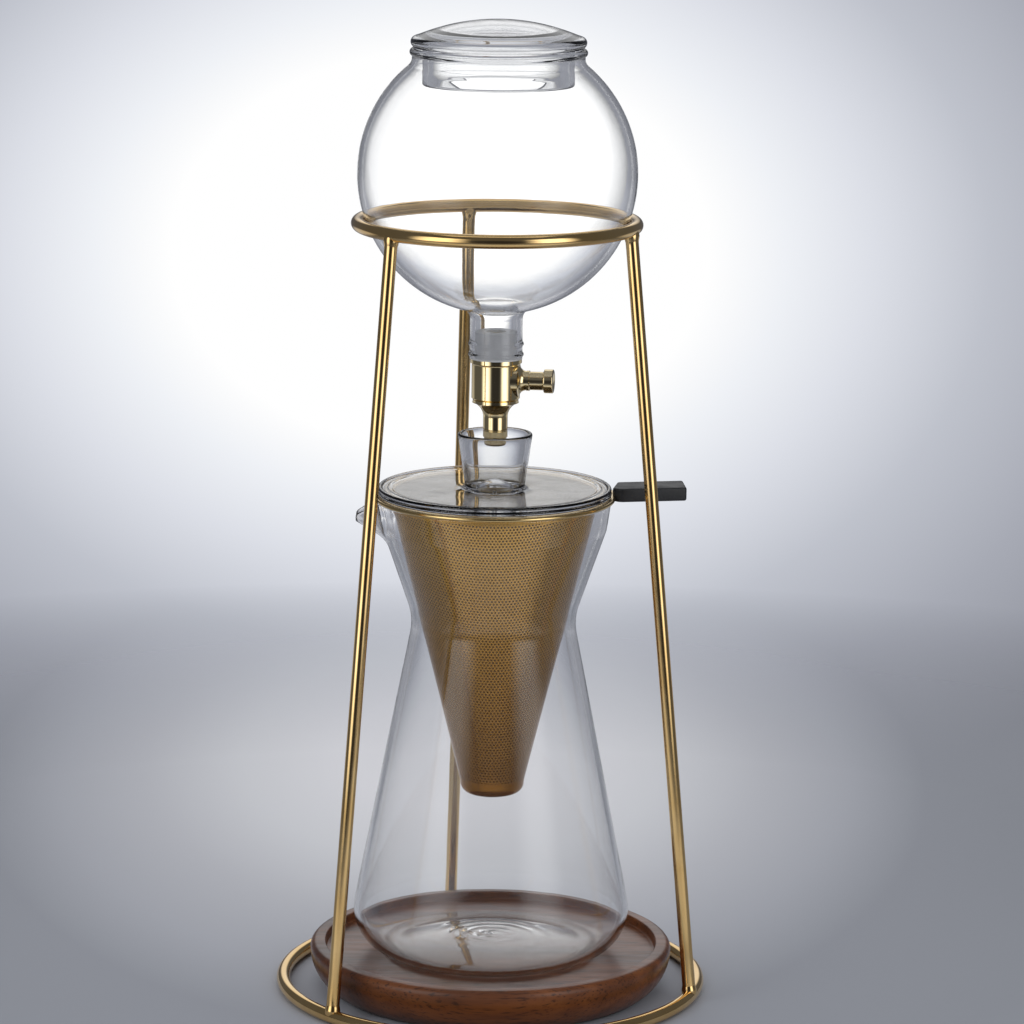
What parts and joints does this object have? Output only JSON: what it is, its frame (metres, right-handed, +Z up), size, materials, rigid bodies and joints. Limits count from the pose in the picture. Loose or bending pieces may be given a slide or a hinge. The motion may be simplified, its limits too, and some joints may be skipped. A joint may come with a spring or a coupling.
{
  "type": "cold drip coffee tower",
  "caption": "Free-standing cold drip coffee tower: wire stand, glass water bulb with a needle valve, spreader lid, gilt cone filter, hourglass carafe and wooden tray.",
  "frame": {"origin": "centre of the base ring, on the table", "axes": "+Z up along the axis of the rings, bulb and carafe; +X towards the valve knob and the filter's handle, -X towards the carafe's spout"},
  "size_m": [0.19, 0.19, 0.4276],
  "materials": {
    "gilt_wire": "steel wire with a polished gilt plating",
    "gilt_sheet": "satin gilt stainless sheet",
    "gilt_mesh": "fine woven gilt stainless mesh",
    "polished_brass": "polished",
    "clear_glass": "clear borosilicate, fire-polished edges",
    "silicone": "translucent silicone",
    "seal_rubber": "matt",
    "black_grip": "matt, fine grain",
    "walnut": "oiled walnut, satin"
  },
  "bodies": {
    "stand": {"base_ring": "gilt_wire", "top_ring": "gilt_wire", "leg_right": "gilt_wire", "leg_rear": "gilt_wire", "leg_left": "gilt_wire", "wood_tray": "walnut"},
    "bulb": {"water_bulb": "clear_glass", "valve_plug": "silicone", "inlet_fitting": "polished_brass", "valve_body": "polished_brass", "drip_nozzle": "polished_brass", "gland_nut": "polished_brass"},
    "bulb_cover": {"bulb_lid": "clear_glass"},
    "seal_carrier": {"stem_seal": "seal_rubber"},
    "knob": {"valve_stem": "polished_brass", "valve_knob": "polished_brass"},
    "server": {"carafe": "clear_glass"},
    "filter": {"filter_shell": "gilt_sheet", "filter_mesh": "gilt_mesh", "filter_base": "gilt_sheet", "filter_rim": "gilt_sheet", "handle_tang": "gilt_sheet", "handle_grip": "black_grip"},
    "spreader": {"dripper_lid": "clear_glass"}
  },
  "joints": [
    {"name": "bulb_lift", "type": "slide", "parent": "stand", "child": "bulb", "axis": [0, 0, 1], "range_m": [0, 0.12]},
    {"name": "bulb_lid_lift", "type": "slide", "parent": "bulb", "child": "bulb_cover", "axis": [0, 0, 1], "range_m": [0, 0.06]},
    {"name": "stem_travel", "type": "slide", "parent": "bulb", "child": "seal_carrier", "axis": [0.9903, -0.1392, 0], "range_m": [0, 0.0015]},
    {"name": "knob_turn", "type": "hinge", "parent": "seal_carrier", "child": "knob", "pos_m": [0, 0, 0.27185], "axis": [0.9903, -0.1392, 0], "range_deg": [0, 720]},
    {"name": "carafe_lift", "type": "slide", "parent": "stand", "child": "server", "axis": [0, 0, 1], "range_m": [0, 0.014]},
    {"name": "filter_lift", "type": "slide", "parent": "server", "child": "filter", "axis": [0, 0, 1], "range_m": [0, 0.014]},
    {"name": "dripper_lid_lift", "type": "slide", "parent": "filter", "child": "spreader", "axis": [0, 0, 1], "range_m": [0, 0.014]}
  ],
  "couplings": [
    {"joint": "knob_turn", "follows": "stem_travel", "rad_per_m": 8377.6}
  ]
}
